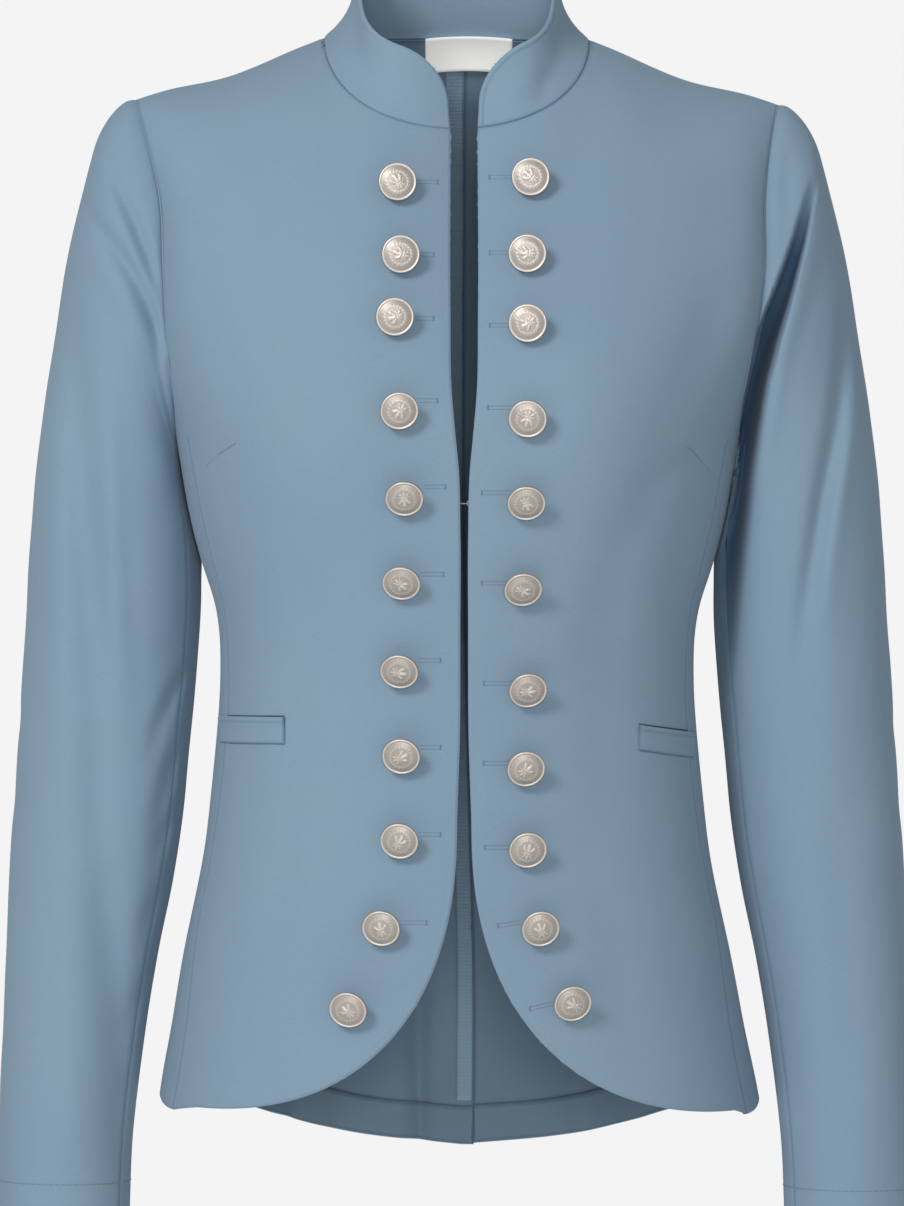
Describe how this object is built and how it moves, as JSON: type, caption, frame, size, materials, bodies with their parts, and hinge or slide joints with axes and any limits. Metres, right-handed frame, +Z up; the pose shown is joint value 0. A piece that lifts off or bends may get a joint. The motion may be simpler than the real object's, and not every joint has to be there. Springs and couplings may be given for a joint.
{
  "type": "stand-collar blazer",
  "caption": "Fitted stand-collar jersey blazer with an open front, two columns of domed buttons, rounded front corners, a dipped back hem and small welt pockets.",
  "frame": {"origin": "between the shoulders, level with the sides of the neckline, where the wearer's shoulders hold the blazer up", "axes": "+X to the wearer's left arm, -Y out of the front, +Z up from the hem to the collar"},
  "size_m": [0.5324, 0.2763, 0.7397],
  "materials": {
    "jersey": "matt blue-grey double-knit jersey",
    "button_metal": "champagne-silver cast metal, satin",
    "label_satin": "off-white satin, bare"
  },
  "bodies": {
    "root": {"front_left": "jersey", "front_right": "jersey", "side_panel_left": "jersey", "side_panel_right": "jersey", "back_left": "jersey", "back_right": "jersey", "upper_sleeve_left": "jersey", "upper_sleeve_right": "jersey", "under_sleeve_left": "jersey", "under_sleeve_right": "jersey", "collar": "jersey", "pocket_welt_left": "jersey", "pocket_welt_right": "jersey", "neck_label": "label_satin", "button_left_01": "button_metal", "button_left_02": "button_metal", "button_left_03": "button_metal", "button_left_04": "button_metal", "button_left_05": "button_metal", "button_left_06": "button_metal", "button_left_07": "button_metal", "button_left_08": "button_metal", "button_left_09": "button_metal", "button_left_10": "button_metal", "button_left_11": "button_metal", "button_right_01": "button_metal", "button_right_02": "button_metal", "button_right_03": "button_metal", "button_right_04": "button_metal", "button_right_05": "button_metal", "button_right_06": "button_metal", "button_right_07": "button_metal", "button_right_08": "button_metal", "button_right_09": "button_metal", "button_right_10": "button_metal", "button_right_11": "button_metal", "waist_hook": "button_metal", "waist_eye": "button_metal"}
  },
  "joints": []
}
